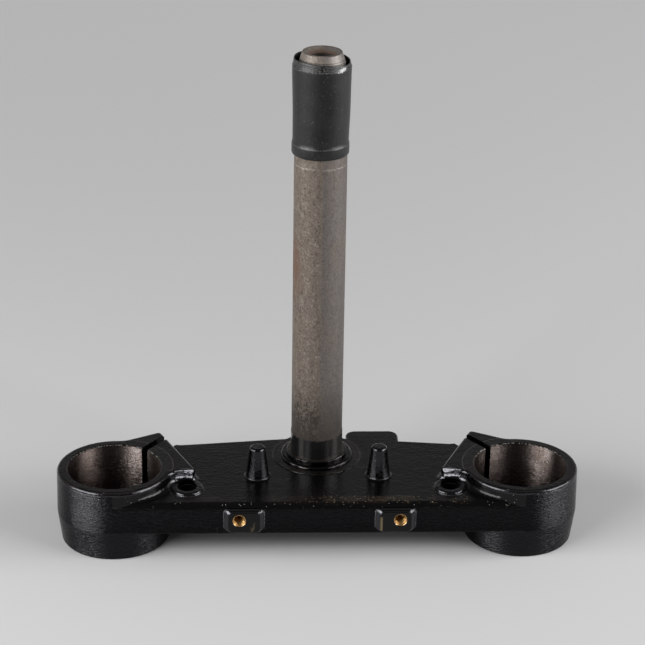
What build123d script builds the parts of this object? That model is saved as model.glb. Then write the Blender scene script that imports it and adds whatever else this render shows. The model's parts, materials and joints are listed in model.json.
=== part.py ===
from build123d import *
import os
from math import cos, radians, sin, sqrt, tan

# Lower triple clamp of a motorcycle: a forged yoke with two split fork clamps, the steering stem
# pressed into its middle, and the soft sleeve that guards the thread at the stem's top.
# Millimetres. +Z runs up the steering axis, +Y to the rear, and the forks stand ahead, at -Y.
# The origin is on the steering axis, in the plane where the lower bearing seats on the yoke.

# Fork clamps
fork_dia = 45.0
fork_spacing = 197.4
fork_lead = 22.9  # fork axes ahead of the steering axis
clamp_wall = 5.6  # at its thickest, level with the deck's underside
clamp_height = 36.9
clamp_rise = 6.2  # clamp top above the deck
clamp_edge_round = 1.6
clamp_foot_round = 1.0
bore_chamfer = 0.7
head_draft = 1.3  # degrees, upwards from the parting plane at the deck's underside
foot_draft = 7.0  # degrees, downwards from it

# Deck between the clamps
deck_thickness = 15.4
deck_front_round = 3.0
deck_edge_round = 1.5
deck_back_at_clamp = 11.2  # rear corners beside the clamp slots, behind the steering axis
deck_corner_inset = 27.0  # those corners inboard of the fork axes
deck_corner_round = 2.0
deck_blend = 2.6  # hollow corner where the clamps and ears rise from the deck
hub_dia = 44.0  # turned hub round the stem
hub_bulge = 2.3  # how far it stands out of the deck's rear edge
hub_blend = 6.0
hub_foot_dia = 41.0  # boss under the deck that lengthens the stem's seat
hub_foot_drop = 9.0

# Pinch ears: the slot leaves the bore towards the steering axis and the rear
slot_angle = 52.0
slot_width = 3.8
ear_overhang = 14.6  # ear tip beyond the clamp wall, along the slot
jaw_tip = 6.4  # tip corner behind the slot's middle
jaw_slope = 23.5  # degrees, back of the jaw against the slot
ear_tip_round = 2.5
ear_front_round = 2.6
ear_front_reach = 5.6  # front corner inboard of the boss hole
ear_roll = 3.6  # radius of the ear's rolled front edge, which fades towards the clamp
jaw_root_blend = 9.0
lobe_depth = 20.0  # the ear under the deck, ahead of the slot's middle
pinch_edge = 8.0  # pinch bolt's axis beyond the fork bore's wall
pinch_height = 20.5  # and above the clamp's foot
pinch_clear_dia = 8.5
pinch_tap_dia = 6.8
pinch_tap_depth = 18.0  # beyond the slot's middle
pinch_seat_dia = 13.5
pinch_jaw = 7.0  # bolt head's seat behind the slot's middle

# Bored bosses on the deck
boss_inset = 35.4  # inboard of the fork axes
boss_lead = 35.3  # ahead of the steering axis
boss_hole_dia = 9.4
boss_dia = 15.4
boss_rise = 1.6
boss_round = 1.1
boss_blend = 0.4
boss_clearance = 7.0  # round pocket that the ears leave about the boss hole

# Stop pegs
peg_spacing = 59.0
peg_lead = 22.0
peg_height = 16.0
peg_base_dia = 11.6
peg_top_dia = 7.4
peg_base_blend = 1.4
peg_top_round = 1.3

# Tapped lugs on the front face
lug_spacing = 76.8
lug_hole_dia = 6.0
lug_hole_depth = 6.5
lug_hole_chamfer = 0.4
lug_inboard = 12.2  # lug's sides, from the hole's axis
lug_outboard = 7.6
lug_above = 5.6  # lug's top edge above the hole's axis
lug_lift = 1.1  # lug's lower edge above the deck's underside
lug_stand = 2.0  # lug face ahead of the deck's front face
lug_flank = 2.6  # how far its sides lean out to the deck
lug_corner_round = 2.4
lug_edge_round = 0.7

# Rear tab, on one side only
tab_inner = 15.5
tab_outer = 42.0
tab_back = 25.7  # behind the steering axis
tab_thickness = 9.0
tab_corner_round = 5.0
tab_edge_round = 1.2

# Collar round the stem
seat_rise = 3.6  # bearing seat above the deck
seat_land = 1.3  # width of the bearing seat round the stem
seat_edge_round = 0.6
rim_width = 2.9  # low rim round the bearing seat
rim_rise = 1.8
rim_round = 1.2
hub_step = 0.4  # machined round step on the deck

# Steering stem: the steps are how far each stretch lies inside the one below
stem_seat_dia = 25.4
stem_root_step = 0.8  # the root pressed into the yoke stands out of the seat by this
stem_seat_length = 10.7
stem_tube_step = 0.2
stem_tube_length = 139.6
upper_seat_step = 0.05
upper_seat_length = 13.4
thread_step = 0.25
thread_length = 30.0
nose_step = 1.3
nose_length = 5.2
nose_bevel = 1.7
nose_bevel_length = 5.0
nose_rim = 1.2  # lip left between the outer bevel and the countersink
nose_rim_round = 0.45
stem_bore_dia = 10.6
stem_edge = 0.8

# Thread sleeve
sleeve_start = 4.9  # lower end above the start of the upper seat
sleeve_grip_wall = 0.65
sleeve_bead = 0.4  # how far the bead at its lower end stands out
sleeve_bead_height = 5.7
sleeve_bead_round = 0.8
sleeve_flare = 0.65  # how far it widens up to the brow
sleeve_brow_rise = 4.0  # brow above the top of the thread
sleeve_roll = 1.05  # how far the top rolls in from the brow
sleeve_roll_height = 3.4
sleeve_lip = 0.45
sleeve_wall = 0.75

fillet_share = 0.95  # most of a wall that its rounded edge may take

# Levels
z_deck_top = -seat_rise
z_deck_bottom = z_deck_top - deck_thickness
z_clamp_top = z_deck_top + clamp_rise
z_clamp_bottom = z_clamp_top - clamp_height
z_lug = (z_deck_top + z_deck_bottom) / 2
z_pinch = z_clamp_bottom + pinch_height
z_stem_foot = z_deck_bottom - hub_foot_drop
z_tube_top = stem_seat_length + stem_tube_length
z_thread = z_tube_top + upper_seat_length
z_thread_top = z_thread + thread_length
z_nose = z_thread_top + nose_length

# Radii of the stem
seat_r = stem_seat_dia / 2
root_r = seat_r + stem_root_step
tube_r = seat_r - stem_tube_step
upper_r = tube_r - upper_seat_step
thread_r = upper_r - thread_step
nose_r = thread_r - nose_step

# Plan of the right-hand clamp
fork_r = fork_dia / 2
clamp_r = fork_r + clamp_wall
deck_front = fork_lead + clamp_r
fork_x = fork_spacing / 2
boss_x = fork_x - boss_inset
ear_wall_y = boss_clearance - boss_lead
ear_front_x = boss_x - ear_front_reach
pocket_x = fork_x - sqrt(clamp_r**2 - (ear_wall_y + fork_lead) ** 2)
pocket_round = min(boss_clearance, pocket_x - ear_front_x - 2 * ear_front_round)
pocket_start_x = fork_x - sqrt((clamp_r + pocket_round) ** 2 - (ear_wall_y - pocket_round + fork_lead) ** 2)
roll_fade = (1 - sqrt(0.5)) * (ear_roll - clamp_edge_round)  # brings the roll to the clamp's own edge
slot_plane = Plane(
    origin=(fork_x, -fork_lead, 0),
    x_dir=(-cos(radians(slot_angle)), sin(radians(slot_angle)), 0),
    z_dir=(0, 0, -1),
)
reach = clamp_r + ear_overhang


def at_slot(along, across, z=0.0):
    """Point by its distance along the slot from the fork axis, and behind the slot's middle."""
    spot = slot_plane.from_local_coords(Vector(along, across, 0))
    return Vector(spot.X, spot.Y, z)


def both_sides(shape):
    """A feature of the right-hand half together with its mirror image."""
    return shape + mirror(shape, about=Plane.YZ)


def turned(points, rounds=()):
    """Solid of revolution about Z from a half section of (radius, height) points.

    rounds lists (point number, radius) for the corners that are rounded or blended.
    """
    section = make_face(Polyline(*[(r, 0, z) for r, z in points], close=True))
    for number, radius in rounds:
        r, z = points[number]
        section = fillet(section.vertices().sort_by_distance((r, 0, z))[0], radius)
    return revolve(section, axis=Axis.Z)


def edges_at(solid, z):
    """Edges of a solid that lie flat at one height."""
    return [e for e in solid.edges() if max(abs(v.Z - z) for v in (e @ 0, e @ 0.5, e @ 1)) < 1e-3]


def round_corner(plan, corner, radius):
    """Round the corner of a flat outline that lies nearest to a point."""
    return fillet(plan.vertices().sort_by_distance(corner)[0], radius)


def ear_outline():
    """Plan of the clamp and its ear above the deck, with rounded and blended corners."""
    root = at_slot(fork_r, jaw_tip + (reach - fork_r) * tan(radians(jaw_slope)))
    tip = at_slot(reach, jaw_tip)
    front = Vector(ear_front_x, ear_wall_y)
    inner = Vector(fork_x, ear_wall_y)
    ear = make_face(Polyline((fork_x, -fork_lead), root, tip, front, inner, close=True))
    plan = Pos(fork_x, -fork_lead) * Circle(clamp_r) + ear
    plan = round_corner(plan, tip, ear_tip_round)
    plan = round_corner(plan, front, ear_front_round)
    plan = round_corner(plan, root, jaw_root_blend)
    return round_corner(plan, Vector(pocket_x, ear_wall_y), pocket_round)


def clamp_head():
    """Right-hand clamp with its ear, from the deck's underside up."""
    head = extrude(Pos(0, 0, z_deck_bottom) * ear_outline(), z_clamp_top - z_deck_bottom, taper=head_draft)
    return fillet(edges_at(head, z_clamp_top), clamp_edge_round)


def ear_front_roll():
    """Corner cut off along the ear's front edge, outside a round bar that lifts out towards the clamp."""
    lean = (z_clamp_top - z_deck_bottom) * tan(radians(head_draft))
    start = Vector(ear_front_x - ear_front_round, ear_wall_y + lean + ear_roll, z_clamp_top - ear_roll)
    end = Vector(pocket_start_x, start.Y - roll_fade, start.Z + roll_fade)
    bar = Plane(origin=end, x_dir=(0, -1, 0), z_dir=start - end)
    corner = Rectangle(2 * ear_roll, 2 * ear_roll, align=Align.MIN) - Circle(ear_roll)
    return extrude(bar * corner, (start - end).length)


def clamp_foot():
    """Tapered ring under the deck, with the lower end of its ear."""
    ring = Pos(fork_x, -fork_lead) * Circle(clamp_r)
    lobe_size = 4 * reach
    lobe = slot_plane * Pos(0, lobe_size / 2 - lobe_depth) * Rectangle(lobe_size, lobe_size)
    plan = ring + (ear_outline() & lobe)
    foot = extrude(Pos(0, 0, z_deck_bottom) * plan, z_clamp_bottom - z_deck_bottom, taper=foot_draft)
    return fillet(edges_at(foot, z_clamp_bottom), clamp_foot_round)


def clamp_blend():
    """Hollow corner along the foot of the clamp head, where it stands on the flat of the deck."""
    ground = 8 * reach
    floor = Pos(fork_x, -fork_lead, z_deck_top - deck_blend) * Box(ground, ground, 2 * deck_blend)
    raised = floor + clamp_head()
    loop = [e for e in edges_at(raised, z_deck_top) if e.length < ground / 2]
    raised = fillet(loop, deck_blend)
    front = deck_front_round - deck_front
    corner_x = fork_x - deck_corner_inset
    flat = make_face(
        Polyline(
            (0, front),
            (fork_x, front),
            (fork_x, -fork_lead),
            (corner_x, deck_back_at_clamp),
            (0, 0),
            close=True,
        )
    )
    return raised & extrude(Pos(0, 0, z_deck_bottom) * flat, z_clamp_top - z_deck_bottom)


def clamp_cuts():
    """Fork bore, slot and pinch bolt hole of the right-hand clamp."""
    mouth = fork_r + bore_chamfer
    bore = turned(
        [
            (0, z_clamp_bottom),
            (mouth, z_clamp_bottom),
            (fork_r, z_clamp_bottom + bore_chamfer),
            (fork_r, z_clamp_top - bore_chamfer),
            (mouth, z_clamp_top),
            (0, z_clamp_top),
        ]
    )
    bore = Pos(fork_x, -fork_lead) * bore
    slot_length = 2 * reach
    slot = slot_plane * Pos(slot_length / 2, 0, -z_pinch) * Box(slot_length, slot_width, 2 * clamp_height)
    pinch_axis = at_slot(fork_r + pinch_edge, 0, z_pinch)
    pinch_plane = Plane(origin=pinch_axis, z_dir=slot_plane.y_dir)
    out = (Align.CENTER, Align.CENTER, Align.MIN)
    into = (Align.CENTER, Align.CENTER, Align.MAX)
    clear = pinch_plane * Cylinder(pinch_clear_dia / 2, reach, align=out)
    tap = pinch_plane * Cylinder(pinch_tap_dia / 2, pinch_tap_depth, align=into)
    seat = pinch_plane * Pos(0, 0, pinch_jaw) * Cylinder(pinch_seat_dia / 2, reach, align=out)
    return bore + slot + clear + tap + seat


def deck():
    """Slab between the clamps: its plan cut to a side profile whose front leans as the clamps do."""
    corner_x = fork_x - deck_corner_inset
    back = hub_dia / 2 - hub_bulge
    plan = make_face(
        Polyline(
            (-fork_x, -deck_front),
            (fork_x, -deck_front),
            (fork_x, -fork_lead),
            (corner_x, deck_back_at_clamp),
            (0, back),
            (-corner_x, deck_back_at_clamp),
            (-fork_x, -fork_lead),
            close=True,
        )
    )
    plan = plan + Circle(hub_dia / 2 - deck_edge_round)
    for side in (-1, 1):
        plan = round_corner(plan, (side * corner_x, deck_back_at_clamp), deck_corner_round)
        plan = round_corner(plan, (side * hub_dia / 4, back), hub_blend)
    slab = extrude(Pos(0, 0, z_deck_bottom) * plan, deck_thickness)
    back_limit = deck_back_at_clamp - deck_corner_round
    slab = fillet([e for e in edges_at(slab, z_deck_top) if e.center().Y > back_limit], deck_edge_round)
    lean = deck_thickness * tan(radians(head_draft))
    rear = back + hub_dia
    profile = make_face(
        Plane.YZ
        * Polyline(
            (-deck_front, z_deck_bottom),
            (lean - deck_front, z_deck_top),
            (rear, z_deck_top),
            (rear, z_deck_bottom),
            close=True,
        )
    )
    profile = round_corner(profile, (0, -deck_front, z_deck_top), deck_front_round)
    return slab & extrude(profile, fork_spacing, both=True)


def hub():
    """Turned middle: bearing seat and rim above the deck, tapered boss below it."""
    hub_r = hub_dia / 2
    foot_r = hub_foot_dia / 2
    foot_tip_r = foot_r - hub_foot_drop * tan(radians(foot_draft))
    land_r = root_r + seat_land
    rim_r = land_r + rim_width
    z_rim = z_deck_top + rim_rise
    z_step = z_deck_top + hub_step
    points = [
        (0, z_stem_foot),
        (foot_tip_r, z_stem_foot),
        (foot_r, z_deck_bottom),
        (hub_r, z_deck_bottom),
        (hub_r, z_step),
        (rim_r, z_step),
        (rim_r, z_rim),
        (land_r, z_rim),
        (land_r, 0),
        (0, 0),
    ]
    rim_edge = min(rim_round, fillet_share * (rim_rise - hub_step))
    return turned(points, [(1, clamp_foot_round), (4, hub_step), (6, rim_edge), (8, seat_edge_round)])


def boss():
    """Low round pad about a vertical hole, on the right-hand side of the deck."""
    r = boss_dia / 2
    z_top = z_deck_top + boss_rise
    root = z_deck_top - deck_edge_round
    skirt = r + 2 * boss_blend
    points = [(0, root), (skirt, root), (skirt, z_deck_top), (r, z_deck_top), (r, z_top), (0, z_top)]
    edge = min(boss_round, fillet_share * (boss_rise - boss_blend))
    return Pos(boss_x, -boss_lead) * turned(points, [(4, edge), (3, boss_blend)])


def peg():
    """Tapered stop peg, on the right-hand side of the deck."""
    base_r = peg_base_dia / 2
    skirt = base_r + 2 * peg_base_blend
    z_top = z_deck_top + peg_height
    root = z_deck_top - deck_edge_round
    points = [
        (0, root),
        (skirt, root),
        (skirt, z_deck_top),
        (base_r, z_deck_top),
        (peg_top_dia / 2, z_top),
        (0, z_top),
    ]
    return Pos(peg_spacing / 2, -peg_lead) * turned(points, [(4, peg_top_round), (3, peg_base_blend)])


def lug():
    """Raised pad with leaning sides on the right-hand half of the deck's front face."""
    width = lug_inboard + lug_outboard
    middle = (lug_spacing + lug_outboard - lug_inboard) / 2
    z_low = z_deck_bottom + lug_lift
    height = z_lug + lug_above - z_low
    face = Plane(origin=(middle, -deck_front, z_low + height / 2), x_dir=(1, 0, 0), z_dir=(0, -1, 0))
    base = face * RectangleRounded(width, height, lug_corner_round)
    drop = lug_flank / 2
    pad = RectangleRounded(width - 2 * lug_flank, height - drop, lug_corner_round)
    pad = face.offset(lug_stand) * Pos(0, -drop / 2) * pad
    block = loft([base, pad])
    block = fillet(block.faces().sort_by(Axis.Y)[0].edges(), lug_edge_round)
    return block + extrude(base, -deck_front_round)


def tab():
    """Flat tab behind the deck, on the right-hand side only."""
    middle = (tab_inner + tab_outer) / 2
    plan = Pos(middle, tab_back / 2) * Rectangle(tab_outer - tab_inner, tab_back)
    for x in (tab_inner, tab_outer):
        plan = round_corner(plan, (x, tab_back), tab_corner_round)
    plate = extrude(Pos(0, 0, z_deck_top) * plan, -tab_thickness)
    return fillet([e for e in edges_at(plate, z_deck_top) if e.center().Y > 0], tab_edge_round)


def deck_cuts():
    """Boss hole and tapped lug hole of the right-hand half."""
    boss_hole = Pos(boss_x, -boss_lead, z_lug) * Cylinder(boss_hole_dia / 2, 2 * clamp_height)
    r = lug_hole_dia / 2
    mouth = r + lug_hole_chamfer
    drill = turned(
        [
            (0, -lug_hole_depth),
            (r, -lug_hole_depth),
            (r, -lug_hole_chamfer),
            (mouth, 0),
            (mouth, lug_stand),
            (0, lug_stand),
        ]
    )
    lug_face = Plane(origin=(lug_spacing / 2, -deck_front - lug_stand, z_lug), z_dir=(0, -1, 0))
    return boss_hole + lug_face * drill


def yoke():
    """The whole forging, with its machined holes."""
    body = deck() + hub() + tab()
    for feature in (clamp_head, clamp_foot, clamp_blend, boss, peg, lug):
        body = body + both_sides(feature())
    stem_hole = Cylinder(root_r, 4 * clamp_height)
    for cut in (ear_front_roll, clamp_cuts, deck_cuts):
        body = body - both_sides(cut())
    return body - stem_hole


def steering_stem():
    """Turned stem, bored through, with a countersunk nose above the thread."""
    bore_r = stem_bore_dia / 2
    z_top = z_nose + nose_bevel_length
    top_r = nose_r - nose_bevel
    sink_r = top_r - nose_rim
    points = [
        (bore_r, z_stem_foot),
        (root_r - stem_edge, z_stem_foot),
        (root_r, z_stem_foot + stem_edge),
        (root_r, 0),
        (seat_r, 0),
        (seat_r, stem_seat_length),
        (tube_r, stem_seat_length),
        (tube_r, z_tube_top),
        (upper_r, z_tube_top),
        (upper_r, z_thread),
        (thread_r, z_thread),
        (thread_r, z_thread_top - stem_edge),
        (thread_r - stem_edge, z_thread_top),
        (nose_r, z_thread_top),
        (nose_r, z_nose),
        (top_r, z_top),
        (sink_r, z_top),
        (bore_r, z_top - (sink_r - bore_r)),
    ]
    lip = min(nose_rim_round, fillet_share * nose_rim / 2)
    return turned(points, [(15, lip), (16, lip)])


def thread_sleeve():
    """Thin sleeve gripping the stem below its thread, flaring upwards to a rolled-in top."""
    base_r = upper_r + sleeve_grip_wall
    bead_r = base_r + sleeve_bead
    brow_r = base_r + sleeve_flare
    mouth_r = brow_r - sleeve_roll
    z_low = z_tube_top + sleeve_start
    z_bead = z_low + sleeve_bead_height
    z_brow = z_thread_top + sleeve_brow_rise
    z_top = z_brow + sleeve_roll_height
    points = [
        (upper_r, z_low),
        (bead_r, z_low),
        (bead_r, z_bead),
        (base_r, z_bead),
        (brow_r, z_brow),
        (mouth_r + sleeve_lip, z_top),
        (mouth_r, z_top),
        (brow_r - sleeve_wall, z_brow - sleeve_wall),
        (upper_r, z_thread),
    ]
    return turned(points, [(1, sleeve_bead_round), (2, sleeve_bead / 2)])


os.makedirs("parts", exist_ok=True)
for name, build in (
    ("yoke", yoke),
    ("steering_stem", steering_stem),
    ("thread_sleeve", thread_sleeve),
):
    export_step(build(), f"parts/{name}.step")
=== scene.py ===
import json
import math

import bmesh
import bpy
from bpy.props import FloatProperty, FloatVectorProperty, IntProperty, PointerProperty
from mathutils import Matrix, Vector


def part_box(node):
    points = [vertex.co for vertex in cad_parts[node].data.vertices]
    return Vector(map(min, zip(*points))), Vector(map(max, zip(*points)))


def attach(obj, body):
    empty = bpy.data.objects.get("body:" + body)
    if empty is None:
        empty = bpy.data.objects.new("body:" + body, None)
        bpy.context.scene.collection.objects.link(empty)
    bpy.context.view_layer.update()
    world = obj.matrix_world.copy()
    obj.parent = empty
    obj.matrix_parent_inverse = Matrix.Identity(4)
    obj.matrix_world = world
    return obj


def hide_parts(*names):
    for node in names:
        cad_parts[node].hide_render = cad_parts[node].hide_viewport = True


bl_info = {
    "name": "Triple clamp looks",
    "version": (1, 0, 0),
    "blender": (4, 5, 0),
    "location": "3D View > Sidebar > Triple clamp",
    "description": "Finishes, soft sleeve, lug threads and studio for a lower triple clamp with its stem",
    "category": "Object",
}

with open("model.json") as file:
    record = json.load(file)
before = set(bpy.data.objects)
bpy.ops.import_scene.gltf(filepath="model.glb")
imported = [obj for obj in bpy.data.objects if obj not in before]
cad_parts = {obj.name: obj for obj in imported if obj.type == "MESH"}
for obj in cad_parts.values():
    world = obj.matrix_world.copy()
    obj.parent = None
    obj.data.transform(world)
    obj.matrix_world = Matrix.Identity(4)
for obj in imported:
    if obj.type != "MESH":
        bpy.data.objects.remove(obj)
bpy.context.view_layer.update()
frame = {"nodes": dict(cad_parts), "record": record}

MM = 0.001
BODY = "root"
MOUNTS = {mount["name"]: mount for mount in frame["record"]["mounts"]}

# Places and sizes on the part in millimetres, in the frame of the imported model.
FORK = MOUNTS["right_fork_clamp"]
FORK_X = FORK["pos_m"][0] / MM
FORK_Y = FORK["pos_m"][1] / MM
FORK_R = FORK["dims"]["r_mm"]
BOSS = MOUNTS["deck_bosses"]
BOSS_X = BOSS["dims"]["spacing_x_mm"] / 2
BOSS_Y = BOSS["pos_m"][1] / MM
BOSS_R = 9.2
LUG = MOUNTS["front_lugs"]
LUG_X = LUG["dims"]["spacing_x_mm"] / 2
LUG_FACE_Y = LUG["pos_m"][1] / MM
LUG_Z = LUG["pos_m"][2] / MM
LUG_HOLE_R = LUG["dims"]["hole_r_mm"]
LUG_HOLE_END_Y = -37.0
SEAT_R = MOUNTS["lower_bearing_seat"]["dims"]["r_mm"]
STEM_BORE_R = MOUNTS["stem_bore"]["dims"]["r_mm"]
YOKE_LOW, YOKE_HIGH = (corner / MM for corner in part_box("yoke"))
STEM_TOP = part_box("steering_stem")[1].z / MM
SLEEVE_LOW, SLEEVE_HIGH = (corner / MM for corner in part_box("thread_sleeve"))
DECK_TOP = -3.6
DECK_BOTTOM = -19.0
DECK_FRONT = -51.0
CLAMP_TOP = 2.6
PARTING_Z = DECK_BOTTOM
STEM_ROOT_R = 13.5
COLLAR_R = 19.0
HUB_R = 21.65
TUBE_TOP = 150.3
NOSE_FOOT = 193.7
SINK_R = 8.0
PEG_X = 29.5
PEG_Y = -22.0
PEG_FOOT_R = 8.3
EAR_X = 62.0
EAR_ROLL_Z = 0.8

BLACK = (0.0, 0.0, 0.0, 1.0)


class Value:
    """A shader socket that can be used in arithmetic: each operator adds one Math node."""

    def __init__(self, shading, socket):
        self.shading = shading
        self.socket = socket

    def math(self, operation, first, second=0.0):
        return self.shading.node("ShaderNodeMath", {"operation": operation}, {0: first, 1: second})

    def __add__(self, other):
        return self.math("ADD", self, other)

    def __sub__(self, other):
        return self.math("SUBTRACT", self, other)

    def __rsub__(self, other):
        return self.math("SUBTRACT", other, self)

    def __mul__(self, other):
        return self.math("MULTIPLY", self, other)

    def __abs__(self):
        return self.math("ABSOLUTE", self)

    def __or__(self, other):
        return self.math("MAXIMUM", self, other)

    def __gt__(self, other):
        return self.math("GREATER_THAN", self, other)

    def __lt__(self, other):
        return self.math("LESS_THAN", self, other)

    __radd__ = __add__
    __rmul__ = __mul__

    def root(self):
        return self.math("SQRT", self)

    def sign(self):
        return self.math("SIGN", self)

    def output(self, name):
        """Another output of the node that this value comes from."""
        return Value(self.shading, self.socket.node.outputs[name])


class Shading:
    """Nodes of a material or a world, all added by one method."""

    def __init__(self, tree):
        self.tree = tree

    def node(self, kind, settings, sockets, out=0):
        """Add one node, with its settings first and then the values or links of its sockets."""
        node = self.tree.nodes.new(kind)
        for name, setting in settings.items():
            setattr(node, name, setting)
        for key, value in sockets.items():
            if isinstance(value, Value):
                self.tree.links.new(value.socket, node.inputs[key])
            else:
                node.inputs[key].default_value = value
        return Value(self, node.outputs[out])

    def feed(self, shader, **varying):
        """Join values to sockets of a shader, by their names with underscores for spaces."""
        for name, value in varying.items():
            self.tree.links.new(value.socket, shader.inputs[name.replace("_", " ")])

    def rise(self, value, low, high):
        """0 below low, 1 above high, smooth between; falls instead where low is above high."""
        return self.node(
            "ShaderNodeMapRange",
            {"interpolation_type": "SMOOTHSTEP"},
            {"Value": value, "From Min": low, "From Max": high},
        )

    def band(self, value, low, high, soft):
        """1 between low and high, with soft edges."""
        return self.rise(value, low - soft, low + soft) * self.rise(value, high + soft, high - soft)

    def within(self, value, low, high):
        """1 between low and high, with hard edges."""
        return (value > low) * (value < high)

    def around(self, a, b):
        """Distance from an axis, from the offsets along two directions across it."""
        return (a * a + b * b).root()

    def mix(self, factor, first, second):
        """Colour between two colours."""
        return self.node("ShaderNodeMix", {"data_type": "RGBA"}, {0: factor, 6: first, 7: second}, 2)

    def blend(self, factor, first, second):
        """Number between two numbers."""
        return self.node("ShaderNodeMix", {"data_type": "FLOAT"}, {0: factor, 2: first, 3: second})


class Finish(Shading):
    """A material whose patterns are measured in millimetres of the object's own coordinates."""

    def __init__(self, name, constants):
        self.material = bpy.data.materials.new(name)
        self.material.use_nodes = True
        super().__init__(self.material.node_tree)
        self.shader = self.tree.nodes["Principled BSDF"]
        for socket, value in constants.items():
            self.shader.inputs[socket].default_value = value
        coordinates = self.node("ShaderNodeTexCoord", {}, {}, "Object")
        self.place = self.node(
            "ShaderNodeVectorMath", {"operation": "SCALE"}, {0: coordinates, "Scale": 1 / MM}
        )
        self.x = self.node("ShaderNodeSeparateXYZ", {}, {0: self.place})
        self.y = self.x.output("Y")
        self.z = self.x.output("Z")

    def noise(self, size, detail=2.0, stretch=(1, 1, 1), shift=0.0, roughness=0.5):
        """Noise with lumps of about that size, longer along an axis whose stretch is larger."""
        scale = [1 / (size * s) for s in stretch]
        sockets = {"Vector": self.place, "Location": (shift, shift, shift), "Scale": scale}
        place = self.node("ShaderNodeMapping", {}, sockets)
        sockets = {"Vector": place, "Scale": 1.0, "Detail": detail, "Roughness": roughness}
        return self.node("ShaderNodeTexNoise", {}, sockets)

    def specks(self, spacing, size, share, stretch=(1, 1, 1)):
        """Scattered dots: one place in every spacing, of which only that share is kept."""
        scale = [1 / (spacing * s) for s in stretch]
        place = self.node("ShaderNodeMapping", {}, {"Vector": self.place, "Scale": scale})
        distance = self.node("ShaderNodeTexVoronoi", {}, {"Vector": place, "Scale": 1.0})
        pick = self.node("ShaderNodeSeparateColor", {}, {0: distance.output("Color")})
        edge = size / spacing
        return self.rise(distance, edge, edge * 0.5) * self.rise(pick, share, share * 0.8)

    def surface(self, height, depth, **varying):
        """Join what varies to the shader, and a bump of that depth in millimetres."""
        sockets = {"Strength": 1.0, "Distance": depth * MM, "Height": height}
        bump = self.node("ShaderNodeBump", {}, sockets)
        self.feed(self.shader, Normal=bump, **varying)


def rgba(colour):
    """Colour property as the four numbers that a shader socket takes."""
    return (*colour, 1.0)


def dress(piece, finish):
    """Give a piece one material."""
    piece.data.materials.clear()
    piece.data.materials.append(finish.material)


def smooth(value):
    """Smooth step of a number held between 0 and 1."""
    t = min(max(value, 0.0), 1.0)
    return t * t * (3 - 2 * t)


def colour_property(name, description, default):
    """Colour in linear light."""
    return FloatVectorProperty(
        name=name, description=description, default=default, subtype="COLOR", min=0.0, max=1.0
    )


def length_property(name, description, millimetres):
    """Length, given in millimetres and kept in metres, as Blender's panels take it."""
    return FloatProperty(
        name=name,
        description=description,
        default=millimetres * MM,
        subtype="DISTANCE",
        unit="LENGTH",
        precision=5,
    )


def brightness_property(name, description, default):
    """Strength of light, where 1 is white."""
    return FloatProperty(name=name, description=description, default=default, min=0.0)


def power_property(name, description, default):
    """Power of a lamp in watts."""
    return FloatProperty(
        name=name, description=description, default=default, subtype="POWER", unit="POWER"
    )


class ClampPaint(bpy.types.PropertyGroup):
    """Finish of the forged yoke."""

    paint: colour_property("Paint", "Black paint over the forging", (0.0018, 0.0017, 0.0019))
    rust: colour_property("Rust", "Rust that tints worn paint", (0.040, 0.024, 0.014))
    fleck: colour_property("Flecks", "Dry flecks along the front edge", (0.16, 0.12, 0.07))
    # Bare metal is also painted as glints on chips and on the bores' rear mouths.
    bare: colour_property("Bare metal", "Steel where the paint is gone", (0.40, 0.37, 0.34))
    gloss: colour_property("Thick coat", "Shine of the thick coat on small forms", (0.050, 0.050, 0.054))
    bore: colour_property("Bore", "Machined wall of the fork bores", (0.114, 0.096, 0.090))
    # Also darkens the left part of each bore.
    soil: colour_property("Bore soil", "Brown soil on the bores' walls", (0.060, 0.046, 0.041))
    thread: colour_property("Thread", "Bare thread in the front lugs", (0.66, 0.43, 0.19))
    # Colour of the dark spot deep in each lug hole.
    hole_dark_spot: colour_property("Lug dirt", "Dirt deep in the lug holes", (0.03, 0.02, 0.012))
    roughness: FloatProperty(
        name="Roughness",
        description="Roughness of sound paint",
        default=0.085,
        subtype="FACTOR",
        min=0.0,
        max=1.0,
    )


class StemSteel(bpy.types.PropertyGroup):
    """Finish of the steering stem."""

    grey: colour_property("Steel", "Bare turned steel", (0.149, 0.132, 0.124))
    brown: colour_property("Patina", "Brown skin on the steel", (0.127, 0.101, 0.081))
    rust: colour_property("Rust", "Rust stains", (0.10, 0.048, 0.028))
    # Also painted as highlights on the step under the sleeve and on the painted band.
    bright: colour_property("Scuffs", "Bright scuffs and worn edges", (0.34, 0.32, 0.29))
    pit: colour_property("Pits", "Dark grains and pits", (0.05, 0.039, 0.031))
    drip: colour_property("Drips", "Streaks that ran down", (0.085, 0.067, 0.054))
    # Also painted shade that darkens the stem towards its foot.
    grime_and_shade: colour_property("Grime", "Grime above the foot", (0.020, 0.015, 0.012))
    # Colour of the dark lines where the nose's grooves are.
    groove: colour_property("Grooves", "Dirt in the nose's turned grooves", (0.03, 0.024, 0.02))
    hollow: colour_property("Hollow", "Inside of the bore", (0.03, 0.022, 0.018))
    band: colour_property("Painted band", "Thin paint above the bearing seat", (0.005, 0.0047, 0.0047))
    band_height: length_property("Band height", "Top of the painted band above the seat", 10.2)


class SleeveSkin(bpy.types.PropertyGroup):
    """Shape and finish of the soft sleeve over the thread."""

    skin: colour_property("Skin", "Soft black sleeve", (0.0048, 0.0046, 0.0047))
    # Also painted as highlights on the brow and the bead.
    dust: colour_property("Dust", "Dust and scuffs on the sleeve", (0.12, 0.116, 0.112))
    # Also painted as a glint on the torn place.
    torn_and_glint: colour_property("Torn edge", "Pale torn place on the rim", (0.60, 0.60, 0.60))
    wall: length_property("Wall", "Thickness of the sleeve", 0.75)
    rim_drop: length_property("Rim drop", "How much lower the rim is on the right", 1.7)
    wrinkle: length_property("Wrinkle", "Height of the folds in the skin", 0.10)
    slip: length_property("Slip", "How far the lower end sits to the left", 0.27)


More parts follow.
